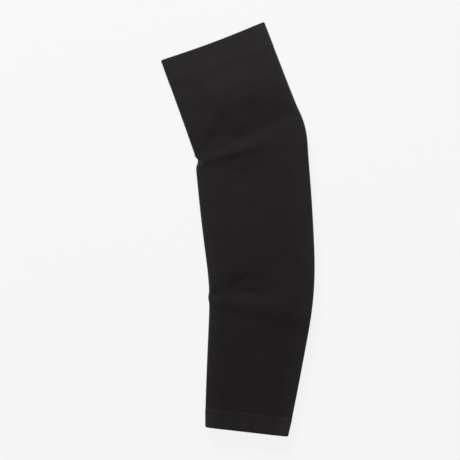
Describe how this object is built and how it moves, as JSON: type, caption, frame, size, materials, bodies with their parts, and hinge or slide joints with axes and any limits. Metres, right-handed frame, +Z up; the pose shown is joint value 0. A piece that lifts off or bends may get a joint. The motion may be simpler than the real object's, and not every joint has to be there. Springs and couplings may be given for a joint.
{
  "type": "arm sleeve",
  "caption": "Tapered hollow knitted arm sleeve lying flat, slightly bent and creased at the elbow, with a doubled band at the upper arm and a turned hem at the wrist.",
  "frame": {"origin": "under the middle of the lying sleeve's footprint, on the surface that it lies on", "axes": "+Z up from that surface, +Y from the wrist end towards the upper-arm end, -X the inner side of the bend"},
  "size_m": [0.1534, 0.4136, 0.0148],
  "materials": {
    "tube_knit": "matt black stretch knit",
    "band_knit": "matt black doubled knit"
  },
  "bodies": {
    "root": {"sleeve_tube": "tube_knit", "upper_band": "band_knit", "wrist_hem": "band_knit"}
  },
  "joints": []
}
